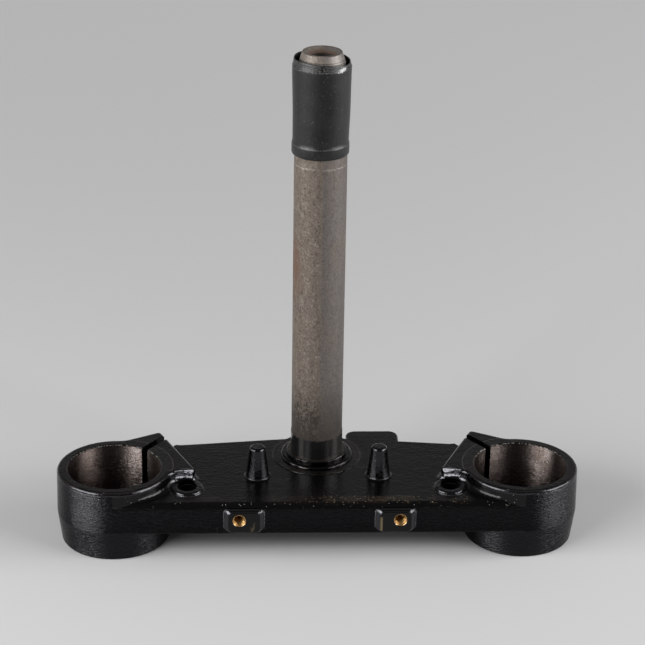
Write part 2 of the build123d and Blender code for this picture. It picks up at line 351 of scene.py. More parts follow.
class LugThread(bpy.types.PropertyGroup):
    """Threads in the front lugs."""

    tarnish: colour_property("Tarnish", "Dull places on the thread", (0.40, 0.23, 0.08))
    pitch: length_property("Pitch", "Distance between turns", 1.0)
    height: length_property("Height", "Height of the ridge", 0.45)
    depth: length_property("Depth", "Length of the thread along the hole", 5.4)
    steps: IntProperty(name="Steps", description="Points in each turn", default=28, min=8, max=64)


class Studio(bpy.types.PropertyGroup):
    """Floor, lights and camera."""

    floor: colour_property("Floor", "Pale floor", (0.573, 0.573, 0.575))
    glow: colour_property("Far floor", "Paleness added to the floor far behind", (0.235, 0.233, 0.231))
    horizon: brightness_property("Horizon", "Light of the room near the floor", 0.58)
    overhead: brightness_property("Overhead", "Light of the room overhead", 0.12)
    front: brightness_property("Front", "Light of the room behind the camera", 0.12)
    left: power_property("Left light", "Left softbox", 22.5)
    right: power_property("Right light", "Right softbox", 20.0)
    lens: FloatProperty(
        name="Lens",
        description="Focal length in millimetres",
        default=115.83,
        subtype="DISTANCE_CAMERA",
        unit="CAMERA",
        min=10.0,
        max=500.0,
    )


class YokePaint(Finish):
    """Worn black paint, with distances from the yoke's features and masks of its places."""

    # Places of edges and marks are in millimetres, and each pair runs from its first place to its last.
    ear_edge_x = (53.0, 69.5)
    ear_edge_y = (-31.0, -20.0)
    wear_end_x = (74.0, 68.0)
    dry_from_x = (-14.0, 6.0)
    scrape_x = (28.8, 29.8)
    scrape_z = (-17.0, -9.8)
    scratch_x = (-29.2, -27.4)
    scratch_z = (-17.0, -12.6)
    scratch_slope = 0.25
    highlight_lean = 1.6

    def __init__(self):
        super().__init__("worn_black_paint", {"Specular IOR Level": 0.215})
        self.side = abs(self.x)
        self.fork_r = self.around(self.side - FORK_X, self.y - FORK_Y)
        self.stem_r = self.around(self.x, self.y)
        self.blotch = self.noise(9.0, 4.0, (1, 1, 1), 19.0)
        self.grit = self.noise(0.8, 4.0, (1, 1, 1), 31.0)
        self.on_deck = self.rise(self.z, DECK_TOP - 4.0, DECK_TOP - 0.5)
        self.on_lug = self.rise(self.y, DECK_FRONT - 0.2, DECK_FRONT - 0.8)
        self.find_small_forms()
        self.find_walls()
        self.find_wear()
        self.find_marks()
        self.find_bare_metal()

    def find_small_forms(self):
        """Pegs, lugs, ears, collar, bosses and rims, where the coat is thick or shines."""
        peg_r = self.around(self.side - PEG_X, self.y - PEG_Y)
        peg = self.rise(peg_r, PEG_FOOT_R + 0.5, PEG_FOOT_R - 0.5)
        self.on_peg = peg * self.rise(self.z, DECK_TOP + 0.2, DECK_TOP + 1.0)
        self.lug_edge = self.on_lug * self.rise(self.y, LUG_FACE_Y + 0.15, LUG_FACE_Y + 0.4)
        ear = self.within(self.side, *self.ear_edge_x) * self.within(self.y, *self.ear_edge_y)
        self.on_ear = ear * self.within(self.z, DECK_TOP + 2.0, CLAMP_TOP - 0.25)
        self.on_collar = self.band(self.stem_r, STEM_ROOT_R + 0.8, COLLAR_R, 0.5) * self.on_deck
        boss_r = self.around(self.side - BOSS_X, self.y - BOSS_Y)
        boss = self.rise(boss_r, BOSS_R + 0.4, BOSS_R - 0.4)
        self.on_boss = boss * self.rise(self.z, DECK_TOP - 0.1, DECK_TOP + 0.3)
        rim = self.rise(self.fork_r, FORK_R + 4.2, FORK_R + 5.0)
        self.on_rim = rim * self.band(self.z, CLAMP_TOP - 2.2, CLAMP_TOP - 0.1, 0.1)

    def find_walls(self):
        """Drafted walls of the clamps, and the deck's front face between them."""
        self.tuck = self.within(self.z, YOKE_LOW.z - 1.0, PARTING_Z)
        below = self.within(self.z, YOKE_LOW.z - 1.0, PARTING_Z - 0.3)
        shank = self.within(self.side, FORK_X - 0.5, YOKE_HIGH.x + 1.0) | below
        shank = shank * self.within(self.fork_r, FORK_R + 2.3, FORK_R + 8.3)
        shank = shank * self.within(self.z, YOKE_LOW.z - 1.0, CLAMP_TOP - 1.5)
        brow = self.within(self.y, DECK_FRONT - 0.3, DECK_FRONT + 0.4)
        brow = brow * self.within(self.side, -1.0, FORK_X + 1.0)
        brow = brow * self.within(self.z, DECK_BOTTOM + 0.3, DECK_TOP - 1.6)
        self.wall = shank | brow

    def find_wear(self):
        """Worn and stained paint on the front edge, the collar, the clamps' tops and their feet."""
        edge = self.band(self.y, DECK_FRONT + 2.2, DECK_FRONT + 8.0, 1.5) * self.on_deck
        edge = edge * self.rise(self.side, *self.wear_end_x)
        dry = self.rise(self.x, *self.dry_from_x)
        collar = self.band(self.stem_r, STEM_ROOT_R - 0.6, HUB_R + 0.85, 1.5) * self.on_deck
        top = self.rise(self.z, CLAMP_TOP - 1.8, CLAMP_TOP - 0.2)
        self.ring_top = top * self.band(self.fork_r, FORK_R, FORK_R + 6.0, 0.6)
        foot = self.rise(self.z, YOKE_LOW.z + 3.0, YOKE_LOW.z + 0.5)
        worn = (edge * (0.35 + 0.35 * dry)) | (collar * 0.55) | (self.ring_top * 0.2) | (foot * 0.25)
        self.stain = self.rise(self.blotch, 0.38, 0.62) * worn
        self.rust = self.stain * self.rise(self.grit, 0.35, 0.75)
        self.joint = self.band(self.stem_r, STEM_ROOT_R - 0.3, STEM_ROOT_R + 0.5, 0.25) * self.on_deck
        self.flecks = self.specks(0.9, 0.36, 0.40, (1.5, 1, 1)) * edge * dry
        self.flecks = self.flecks * self.rise(self.blotch, 0.36, 0.52)

    def find_marks(self):
        """Chips, which are also painted glints, dust, turned lines and the two scraped lugs."""
        edge_line = self.band(self.y, DECK_FRONT + 0.6, DECK_FRONT + 3.0, 0.5) * self.on_deck
        # Chips on the front edge and the clamps' tops, painted bright as glints as well.
        self.chips_and_glints = self.specks(0.8, 0.24, 0.12) * (edge_line | (self.ring_top * 0.3))
        self.dust = self.specks(9.0, 0.33, 0.10)
        top = self.rise(self.z, CLAMP_TOP - 0.5, CLAMP_TOP - 0.1)
        self.facing = self.band(self.fork_r, FORK_R + 5.75, FORK_R + 6.05, 0.12) * top
        self.hub_line = self.band(self.stem_r, HUB_R - 0.25, HUB_R + 0.25, 0.15) * self.on_deck
        self.hub_line = self.hub_line * self.rise(self.blotch, 0.36, 0.56)
        scrape = self.band(self.x, *self.scrape_x, 0.35) * self.band(self.z, *self.scrape_z, 0.8)
        self.scraped = scrape * self.on_lug
        across = self.x - self.scratch_slope * self.z
        scratch = self.band(across, *self.scratch_x, 0.7) * self.band(self.z, *self.scratch_z, 0.9)
        frayed = self.rise(self.noise(0.7, 3.0, (1, 1, 3), 71.0), 0.40, 0.66)
        self.scratched = scratch * frayed * self.on_lug

    def find_bare_metal(self):
        """Machined metal without paint: bores, parts of their mouths, and lug holes. The bare specks on the
        mouths are kept to the rear side, where they are painted glints as well.
        """
        self.bore = self.rise(self.fork_r, FORK_R + 0.16, FORK_R + 0.06)
        self.bore_stain = self.noise(7.0, 4.0, (1, 1, 1.6), 51.0)
        # Bare specks on the bores' mouths, only on the rear side: worn edge and painted glint.
        bare_mouth_and_glint = self.band(self.fork_r, FORK_R + 0.05, FORK_R + 0.4, 0.1)
        bare_mouth_and_glint = bare_mouth_and_glint * self.rise(self.grit, 0.50, 0.62)
        self.bare_mouth_and_glint = bare_mouth_and_glint * self.rise(self.y, FORK_Y + 2.0, FORK_Y + 16.0)
        lug_r = self.around(self.side - LUG_X, self.z - LUG_Z)
        tapped = self.rise(lug_r, LUG_HOLE_R + 0.16, LUG_HOLE_R + 0.06)
        self.tapped = tapped * self.rise(self.y, LUG_HOLE_END_Y + 1.0, LUG_HOLE_END_Y - 1.0)

    def shine(self):
        """How strongly the coat shines on each form."""
        fade = self.rise(self.z, PARTING_Z + 9.0, PARTING_Z)
        small = (self.on_peg * 0.75) | self.lug_edge | self.on_ear | (self.on_collar * 0.55) | self.on_boss
        return small | (self.on_rim * 0.75) | (self.wall * (0.44 - 0.10 * fade + 0.13 * self.tuck))

    def colour(self, look):
        """Paint, then its wear and marks, then bare metal; the chips and the bores' rear mouths are also
        painted glints.
        """
        colour = self.mix(self.shine(), rgba(look.paint), rgba(look.gloss))
        colour = self.mix(self.rust, colour, rgba(look.rust))
        colour = self.mix(self.joint * 0.8, colour, rgba(look.rust))
        marks = (self.flecks * 0.9) | (self.scraped * 0.7) | (self.scratched * 0.35)
        colour = self.mix(marks, colour, rgba(look.fleck))
        colour = self.mix((self.facing * 0.12) | (self.hub_line * 0.03), colour, rgba(look.bare))
        colour = self.mix((self.chips_and_glints * 0.6) | (self.dust * 0.5), colour, rgba(look.bare))
        # Brown blotches, and darker brown over the left part of each bore.
        across = self.x - FORK_X * self.x.sign()
        bore_darkening = self.rise(self.bore_stain, 0.35, 0.7) | (self.rise(across, 2.0, -14.0) * 0.9)
        bore_tone = self.mix(bore_darkening, rgba(look.bore), rgba(look.soil))
        colour = self.mix(self.bore, colour, bore_tone)
        colour = self.mix(self.bare_mouth_and_glint, colour, rgba(look.bare))
        colour = self.mix(self.tapped, colour, rgba(look.thread))
        # Dark spot deep in each lug hole.
        hole_dark_spot = self.rise(self.around(self.side - LUG_X, self.z - LUG_Z + 1.0), 1.3, 0.8)
        return self.mix(self.tapped * hole_dark_spot * 0.9, colour, rgba(look.hole_dark_spot))

    def roughness(self, look):
        """Glossy where the coat is sound, duller where it is stained or bare."""
        rough = look.roughness + 0.10 * self.blotch + 0.35 * self.stain
        rough = rough + 0.05 * self.wall + 0.14 * self.ring_top
        rough = rough * (1.0 - ((self.on_rim * 0.6) | (self.on_collar * 0.4)))
        rough = self.blend(self.bore, rough, 0.16 + 0.14 * self.bore_stain)
        return self.blend(self.tapped | self.bare_mouth_and_glint, rough, 0.35)

    def metal(self):
        """Bare metal, and the coat wherever its shine has a colour of its own."""
        coat = self.on_peg | self.lug_edge | self.on_ear | self.on_collar | self.on_boss | self.on_rim
        return self.bore | self.tapped | self.bare_mouth_and_glint | coat | self.wall

    def height(self):
        """Lumps of the coat, the forging's lay, chips, and the lean of the walls' highlights."""
        peel = self.noise(1.1, 3.0)
        lay = self.noise(1.0, 3.0, (2.0, 1, 1), 7.0)
        waves = self.noise(6.0, 2.0, (2, 1, 1), 3.0)
        lumps = self.noise(1.9, 2.0, (1, 1, 1), 61.0)
        drawn = self.noise(0.22, 1.0, (9, 9, 1), 83.0)
        honing = self.noise(0.22, 1.0, (9, 9, 1), 43.0)
        thick = (self.on_peg * 0.7) | (self.on_lug * 0.6) | self.on_ear
        thick = thick | (self.on_collar * 0.3) | (self.on_boss * 0.8)
        lean = (CLAMP_TOP - self.z) * self.highlight_lean
        up = self.z - EAR_ROLL_Z
        roll = (0.55 * (self.side - EAR_X) + 0.175 * up * up) * self.on_ear
        height = peel * 0.7 + lay * 0.55 * self.on_deck + waves * 0.6 + lumps * thick * 1.6
        height = height + self.stain * 0.3 - self.chips_and_glints * 0.4
        height = height + drawn * (self.wall | (self.on_peg * 0.2)) * 0.85
        height = height + roll * 5.6 + lean * self.wall
        return self.blend(self.bore, height, honing * 0.75 + lean)


class OBJECT_OT_paint_yoke(bpy.types.Operator):
    """Paint the forged yoke black, with worn edges, bare bores and rust"""

    bl_idname = "object.paint_yoke"
    bl_label = "Paint yoke"

    coat_depth = 0.18

    def execute(self, context):
        look = context.scene.clamp_paint
        f = YokePaint()
        f.surface(
            f.height(),
            self.coat_depth,
            Base_Color=f.colour(look),
            Roughness=f.roughness(look),
            Metallic=f.metal(),
        )
        dress(frame["nodes"]["yoke"], f)
        return {"FINISHED"}


class StemPatina(Finish):
    """Mottled bare steel, with masks of the stem's stains, ends and painted foot."""

    # Places of stains and rubs are in millimetres.
    stain_x = -11.5
    stain_z = 99.0
    foot_shade_z = (46.0, 8.0)
    ragged_z = (22.0, 12.0)
    rubbed_and_highlight_x = (-8.4, -6.6)

    def __init__(self, look):
        super().__init__("mottled_stem_steel", {"Specular IOR Level": 0.5})
        self.radius = self.around(self.x, self.y)
        self.cloud = self.noise(9.0, 4.0, (1, 1, 2.2))
        self.grain = self.noise(0.9, 4.0, (1, 1, 1.2), 23.0, 0.65)
        self.patch = self.noise(2.4, 4.0, (1, 1, 1.6), 29.0, 0.6) - 0.5
        self.pits = self.specks(1.1, 0.5, 0.5)
        self.find_mottle()
        self.find_ends()
        self.find_foot(look)

    def find_mottle(self):
        """Brown and grey sides, grains, stains, drips and scuffs of the tube; the browner, grainier left side
        is partly painted light from the left lamp.
        """
        # The left side is browner and more grainy: partly patina, partly painted light from the left lamp.
        self.left = self.rise(self.x + 5.0 * self.patch + 4.0 * (self.cloud - 0.5), 1.6, -0.8)
        self.warm = self.rise(self.cloud + 0.35 * self.left + 0.35 * self.patch, 0.45, 0.80)
        coarse = 0.45 + 0.55 * self.left
        self.pale = self.rise(self.grain + 0.5 * self.patch, 0.54, 0.68) * coarse
        self.dark = self.rise(self.grain + 0.5 * self.patch, 0.46, 0.34) * coarse
        away = self.around((self.x - self.stain_x) * 0.26, (self.z - self.stain_z) * 0.045)
        self.stain = self.rise(away + 1.6 * self.patch, 1.0, 0.2) * self.rise(self.y, 6.0, 0.0)
        streak = self.noise(1.6, 3.0, (1, 1, 16), 11.0)
        self.drips = self.rise(streak, 0.56, 0.70) * self.rise(self.cloud, 0.42, 0.6)
        self.scuff = self.specks(5.0, 0.8, 0.20, (1, 1, 1.8)) * self.rise(self.grain, 0.45, 0.65)

    def find_ends(self):
        """Painted highlight on the step under the sleeve, and the nose with its grooves, countersink and
        bore.
        """
        # Bright line on the step under the sleeve, broken at the front: a painted highlight.
        step = self.band(self.z + 1.2 * self.patch, TUBE_TOP - 0.2, TUBE_TOP + 0.5, 0.25)
        step = step * self.rise(self.grain, 0.36, 0.6)
        self.step = step * self.rise(abs(self.x + 1.0), 0.4, 3.0)
        self.above = self.rise(self.z, NOSE_FOOT, NOSE_FOOT + 2.0)
        sunk = self.rise(self.radius, SINK_R + 0.3, SINK_R + 0.1) * self.above
        self.deep = self.rise(self.z, STEM_TOP - 0.6, STEM_TOP - 2.2) * sunk
        self.inside = self.rise(self.radius, STEM_BORE_R + 0.3, STEM_BORE_R + 0.1)
        # Dark lines where the nose's grooves are.
        upper = self.band(self.z, STEM_TOP - 3.5, STEM_TOP - 3.2, 0.12)
        self.groove = upper | self.band(self.z, STEM_TOP - 4.5, STEM_TOP - 4.2, 0.12)

    def find_foot(self, look):
        """Painted band above the bearing seat with a painted highlight on it, dark speckled dirt over it, and
        painted shade darkening towards the foot.
        """
        band_top = look.band_height / MM
        painted = self.rise(self.z + 1.6 * self.patch, band_top + 0.35, band_top - 0.35)
        self.painted = painted * self.rise(self.radius, SEAT_R - 1.0, SEAT_R - 0.5)
        # Bright streak and lighter right side on the painted band: painted highlight, partly worn paint.
        rubbed_and_highlight = self.band(self.x, *self.rubbed_and_highlight_x, 0.8) | (0.5 * self.rise(self.x, 1.0, 9.0))
        self.rubbed_and_highlight = self.painted * rubbed_and_highlight
        # Darker towards the foot: painted shade; the ragged patch on the left and the pocks are dirt.
        low = self.rise(self.z, *self.foot_shade_z)
        ragged = self.rise(self.z + 10.0 * self.patch, *self.ragged_z) * self.left
        pocks = self.rise(low * 0.30 + self.noise(1.3, 3.0, (1, 1, 1.2), 91.0, 0.6), 0.64, 0.70)
        self.grime_and_shade = (low * 0.74) | (ragged * 0.6) | (pocks * (0.35 + 0.65 * self.left))

    def colour(self, look):
        """Steel and patina, then grains and stains, then dirt with painted shade towards the foot, then
        scuffs and painted highlights, then the nose and the painted band.
        """
        colour = self.mix(self.warm, rgba(look.grey), rgba(look.brown))
        colour = self.mix(self.pale * 0.35, colour, rgba(look.bright))
        colour = self.mix((self.dark * 0.70) | (self.pits * 0.30), colour, rgba(look.pit))
        colour = self.mix(self.drips * 0.35, colour, rgba(look.drip))
        colour = self.mix(self.stain * 0.75, colour, rgba(look.rust))
        colour = self.mix(self.grime_and_shade * 0.85, colour, rgba(look.grime_and_shade))
        # Scuffs, the painted highlight on the step, and the lighter nose.
        bright = (self.scuff * 0.6) | (self.step * 0.7) | (self.above * 0.14)
        colour = self.mix(bright, colour, rgba(look.bright))
        colour = self.mix(self.groove * 0.7, colour, rgba(look.groove))
        colour = self.mix(self.deep * 0.8, colour, rgba(look.rust))
        colour = self.mix(self.inside, colour, rgba(look.hollow))
        colour = self.mix(self.painted, colour, rgba(look.band))
        return self.mix(self.rubbed_and_highlight * 0.08, colour, rgba(look.bright))

    def roughness(self):
        """Duller in clouds, dark grains and stains, and smoother where it is painted."""
        rough = 0.46 + 0.16 * self.cloud + 0.12 * self.dark + 0.12 * self.stain
        return self.blend(self.painted, rough, 0.22)

    def metal(self):
        """Less metallic where the patina is brown, and not where it is covered."""
        covered = self.painted | (self.deep * 0.6) | (self.stain * 0.6) | self.inside
        return (0.75 - 0.40 * self.warm) * (1.0 - covered)

    def height(self):
        """Grains, turning marks, pits and the crust of the stain."""
        turning = self.noise(0.35, 1.0, (60, 60, 1), 37.0)
        return self.grain * 1.6 + turning * 0.25 - self.pits * 0.5 + self.stain * 0.4


class OBJECT_OT_finish_stem(bpy.types.Operator):
    """Give the steering stem its mottled bare steel, stains and painted foot"""

    bl_idname = "object.finish_stem"
    bl_label = "Finish stem"

    grain_depth = 0.04

    def execute(self, context):
        look = context.scene.stem_steel
        f = StemPatina(look)
        f.surface(
            f.height(),
            self.grain_depth,
            Base_Color=f.colour(look),
            Roughness=f.roughness(),
            Metallic=f.metal(),
        )
        dress(frame["nodes"]["steering_stem"], f)
        return {"FINISHED"}


class OBJECT_OT_make_sleeve(bpy.types.Operator):
    """Make the soft sleeve over the thread, with its crooked rim, bead and folds"""

    bl_idname = "object.make_sleeve"
    bl_label = "Make sleeve"

    # Lengths are in millimetres and angles in radians.
    around_steps = 192
    rows = 26
    sag_angle = math.radians(-10)
    nick_angle = math.radians(-55)
    nick_spread = 0.16
    nick_x = 8.9
    nick_drop = 3.3
    skin_depth = 0.10

    def section(self, look):
        """Half section from the lower inner edge, up the outside and down the inside."""
        low, top = SLEEVE_LOW.z, SLEEVE_HIGH.z
        brow_r = SLEEVE_HIGH.x
        brow_z = top - 3.4
        bead_z = low + 5.7
        grip_r = brow_r - 1.3
        base_r = grip_r + 0.65
        bead_r = base_r + 0.4
        inner_r = brow_r - look.wall / MM - 0.1
        points = [
            (grip_r, low),
            (bead_r - 0.6, low),
            (bead_r - 0.2, low + 0.25),
            (bead_r, low + 0.9),
            (bead_r, bead_z - 0.9),
            (bead_r - 0.08, bead_z - 0.35),
            (base_r + 0.05, bead_z + 0.1),
        ]
        for row in range(1, self.rows + 1):
            t = row / self.rows
            points.append((base_r + (brow_r - base_r) * t, bead_z + (brow_z - 0.5 - bead_z) * t))
        points += [
            (brow_r - 0.02, brow_z - 0.15),
            (brow_r - 0.12, brow_z + 0.15),
            (brow_r - 0.30, brow_z + 0.8),
            (brow_r - 0.47, brow_z + 1.6),
            (brow_r - 0.60, brow_z + 2.6),
            (brow_r - 0.72, top - 0.15),
            (brow_r - 0.90, top),
            (brow_r - 1.08, top - 0.15),
            (inner_r - 0.35, brow_z + 1.4),
            (inner_r, brow_z - 0.2),
            (inner_r, brow_z - 6.0),
            (grip_r + 0.08, low + 9.0),
        ]
        return points

    def crooked(self, look, angle, r, z):
        """Place of one point once the rim sags to the right and the skin is folded."""
        low, top = SLEEVE_LOW.z, SLEEVE_HIGH.z
        up = (z - low) / (top - low)
        free = smooth((up - 0.15) / 0.5) * (1 - smooth((up - 0.86) / 0.1))
        folds = math.sin(3 * angle + 7.0 * up) + 0.6 * math.sin(7 * angle - 11.0 * up + 1.7)
        r += look.wrinkle / MM * 0.5 * free * folds
        shoulder = smooth((z - (top - 4.2)) / 3.0)
        sag = max(0.0, math.cos(angle - self.sag_angle)) ** 1.5
        z -= look.rim_drop / MM * sag * shoulder
        nick = math.exp(-(((angle - self.nick_angle) / self.nick_spread) ** 2))
        z -= 0.55 * nick * shoulder
        r -= 0.25 * nick * shoulder
        z += 0.16 * math.sin(5 * angle + 0.8) * shoulder
        slip = look.slip / MM * (1 - smooth(up / 0.5))
        return r * math.cos(angle) - slip, r * math.sin(angle), z

    def skin(self, look):
        """Matt black skin with dust, edges worn pale that also carry painted highlights, and fine vertical
        creases.
        """
        f = Finish("dusty_sleeve_rubber", {"Specular IOR Level": 0.36})
        cloud = f.noise(8.0, 4.0)
        grain = f.noise(0.6, 3.0, (1, 1, 1), 5.0)
        crease = f.noise(1.4, 2.0, (1, 1, 9), 13.0)
        brow = f.band(f.z, SLEEVE_HIGH.z - 4.1, SLEEVE_HIGH.z - 3.4, 0.3)
        bead = f.band(f.z, SLEEVE_LOW.z + 4.9, SLEEVE_LOW.z + 5.5, 0.3)
        # Pale lines on the brow and the bead: rubbed dust, and painted highlights along those edges.
        rubbed_and_highlight = (brow | bead) * f.rise(grain, 0.35, 0.7)
        rolled = f.rise(f.z, SLEEVE_HIGH.z - 3.4, SLEEVE_HIGH.z - 2.8) * f.rise(grain, 0.45, 0.62)
        haze = f.rise(cloud, 0.35, 0.75) * 0.03
        dust = f.specks(1.7, 0.40, 0.35)
        lint = f.specks(6.0, 0.55, 0.30, (1, 1, 1.5))
        # Dust, lint and haze, with the painted highlights of the brow and the bead.
        dust_and_highlight = haze | (dust * 0.35) | (lint * 0.5) | (f.rise(grain, 0.56, 0.70) * 0.16)
        dust_and_highlight = dust_and_highlight | (rubbed_and_highlight * 0.8) | (rolled * 0.45)
        colour = f.mix(dust_and_highlight, rgba(look.skin), rgba(look.dust))
        # Pale torn place on the rim, painted bright as a glint as well.
        beside = f.x - self.nick_x
        nick_away = f.around(beside * 0.45, f.z - SLEEVE_HIGH.z + self.nick_drop - 0.30 * beside)
        nick = f.rise(nick_away + 3.0 * (grain - 0.5), 1.0, 0.6) * f.rise(f.y, -4.0, -6.0)
        colour = f.mix(nick * 0.8, colour, rgba(look.torn_and_glint))
        rough = 0.33 + 0.14 * cloud - 0.08 * rubbed_and_highlight + 0.3 * (grain - 0.5)
        f.surface(grain * 0.6 + crease * 0.7, self.skin_depth, Base_Color=colour, Roughness=rough)
        return f

    def mesh(self, look):
        """Closed skin, with the section at every step round the stem."""
        mesh = bpy.data.meshes.new("thread_sleeve_skin")
        section = self.section(look)
        shape = bmesh.new()
        rings = []
        for step in range(self.around_steps):
            angle = 2 * math.pi * step / self.around_steps
            ring = [shape.verts.new(Vector(self.crooked(look, angle, r, z)) * MM) for r, z in section]
            rings.append(ring)
        for ring, following in zip(rings, rings[1:] + rings[:1]):
            for k in range(len(section)):
                after = (k + 1) % len(section)
                shape.faces.new((ring[k], following[k], following[after], ring[after]))
        bmesh.ops.recalc_face_normals(shape, faces=shape.faces)
        for face in shape.faces:
            face.smooth = True
        shape.to_mesh(mesh)
        shape.free()
        return mesh

    def execute(self, context):
        look = context.scene.sleeve_skin
        sleeve = bpy.data.objects.new("thread_sleeve_skin", self.mesh(look))
        context.scene.collection.objects.link(sleeve)
        dress(sleeve, self.skin(look))
        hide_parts("thread_sleeve")
        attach(sleeve, BODY)
        return {"FINISHED"}


class ThreadTree:
    """Geometry nodes of a ridge that winds into a hole, set at each of two places."""

    inputs = {
        "Spacing": "NodeSocketFloat",
        "Hole Radius": "NodeSocketFloat",
        "Ridge Height": "NodeSocketFloat",
        "Ridge Foot": "NodeSocketFloat",
        "Ridge Crest": "NodeSocketFloat",
        "Length": "NodeSocketFloat",
        "Turns": "NodeSocketFloat",
        "Steps": "NodeSocketInt",
        "Mouth": "NodeSocketVector",
        "Material": "NodeSocketMaterial",
    }
    along_y = (math.radians(-90), 0.0, 0.0)

    def __init__(self):
        self.group = bpy.data.node_groups.new("lug_thread", "GeometryNodeTree")
        interface = self.group.interface
        interface.new_socket("Geometry", in_out="OUTPUT", socket_type="NodeSocketGeometry")
        for name, kind in self.inputs.items():
            interface.new_socket(name, in_out="INPUT", socket_type=kind)
        self.given = self.group.nodes.new("NodeGroupInput").outputs
        sockets = {"Points": self.places(), "Instance": self.winding()}
        both = self.add("GeometryNodeInstanceOnPoints", sockets)
        real = self.add("GeometryNodeRealizeInstances", {"Geometry": both})
        sockets = {"Geometry": real, "Material": self.given["Material"]}
        dressed = self.add("GeometryNodeSetMaterial", sockets)
        result = self.group.nodes.new("NodeGroupOutput")
        self.group.links.new(dressed, result.inputs[0])

    def add(self, kind, sockets, **settings):
        """Add one node, with its settings first, and give its first output."""
        node = self.group.nodes.new(kind)
        for name, setting in settings.items():
            setattr(node, name, setting)
        for key, value in sockets.items():
            if isinstance(value, bpy.types.NodeSocket):
                self.group.links.new(value, node.inputs[key])
            else:
                node.inputs[key].default_value = value
        return node.outputs[0]

    def times(self, value, factor):
        return self.add("ShaderNodeMath", {0: value, 1: factor}, operation="MULTIPLY")

    def point(self, x=0.0, y=0.0):
        return self.add("ShaderNodeCombineXYZ", {"X": x, "Y": y})

    def ridge(self):
        """Section of the ridge, from its foot on the hole's wall to its narrower crest."""
        height = self.given["Ridge Height"]
        foot = self.given["Ridge Foot"]
        crest = self.given["Ridge Crest"]
        corners = {
            "Point 1": self.point(y=self.times(foot, -1.0)),
            "Point 2": self.point(height, self.times(crest, -1.0)),
            "Point 3": self.point(height, crest),
            "Point 4": self.point(y=foot),
        }
        return self.add("GeometryNodeCurvePrimitiveQuadrilateral", corners, mode="POINTS")

    def winding(self):
        """The ridge swept along a helix that runs into the hole."""
        sockets = {
            "Resolution": self.given["Steps"],
            "Rotations": self.given["Turns"],
            "Start Radius": self.given["Hole Radius"],
            "End Radius": self.given["Hole Radius"],
            "Height": self.given["Length"],
        }
        helix = self.add("GeometryNodeCurveSpiral", sockets)
        level = self.add("GeometryNodeSetCurveNormal", {"Curve": helix}, mode="Z_UP")
        sockets = {"Curve": level, "Profile Curve": self.ridge(), "Fill Caps": True}
        sweep = self.add("GeometryNodeCurveToMesh", sockets)
        return self.add("GeometryNodeTransform", {"Geometry": sweep, "Rotation": self.along_y})

    def places(self):
        """Mouths of the two holes."""
        spacing = self.given["Spacing"]
        aside = self.point(self.times(spacing, 0.5))
        sockets = {0: self.given["Mouth"], 1: aside}
        start = self.add("ShaderNodeVectorMath", sockets, operation="SUBTRACT")
        sockets = {"Count": 2, "Start Location": start, "Offset": self.point(spacing)}
        return self.add("GeometryNodeMeshLine", sockets)


class OBJECT_OT_make_lug_threads(bpy.types.Operator):
    """Run a thread into each front lug"""

    bl_idname = "object.make_lug_threads"
    bl_label = "Make lug threads"

    # Depths are in millimetres. The foot is a share of the pitch, and the crest a share of the foot.
    mouth_depth = 0.6
    foot_share = 0.47
    crest_share = 0.15
    grain_depth = 0.03

    def metal(self, context):
        """Bare yellowish thread with dull places."""
        bright = context.scene.clamp_paint.thread
        dull = context.scene.lug_thread.tarnish
        f = Finish("bare_lug_thread", {"Metallic": 1.0})
        grit = f.noise(0.6, 3.0)
        colour = f.mix(f.rise(grit, 0.45, 0.7), rgba(bright), rgba(dull))
        f.surface(grit, self.grain_depth, Base_Color=colour, Roughness=0.28 + 0.25 * grit)
        return f

    def execute(self, context):
        look = context.scene.lug_thread
        finish = self.metal(context)
        tree = ThreadTree().group
        foot = look.pitch * self.foot_share
        carrier = bpy.data.objects.new("lug_thread_carrier", bpy.data.meshes.new("lug_thread_carrier"))
        context.scene.collection.objects.link(carrier)
        modifier = carrier.modifiers.new("lug_thread", "NODES")
        modifier.node_group = tree
        sizes = {
            "Spacing": 2 * LUG_X * MM,
            "Hole Radius": LUG_HOLE_R * MM,
            "Ridge Height": look.height,
            "Ridge Foot": foot,
            "Ridge Crest": foot * self.crest_share,
            "Length": look.depth,
            "Turns": look.depth / look.pitch,
            "Steps": look.steps,
            "Mouth": (0.0, (LUG_FACE_Y + self.mouth_depth) * MM, LUG_Z * MM),
            "Material": finish.material,
        }
        for item in tree.interface.items_tree:
            if item.in_out == "INPUT":
                modifier[item.identifier] = sizes[item.name]
        ready = carrier.evaluated_get(context.evaluated_depsgraph_get())
        mesh = bpy.data.meshes.new_from_object(ready)
        mesh.name = "lug_threads"
        bpy.data.objects.remove(carrier)
        threads = bpy.data.objects.new("lug_threads", mesh)
        context.scene.collection.objects.link(threads)
        if not mesh.polygons:
            raise RuntimeError("the lug threads have no faces")
        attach(threads, BODY)
        return {"FINISHED"}


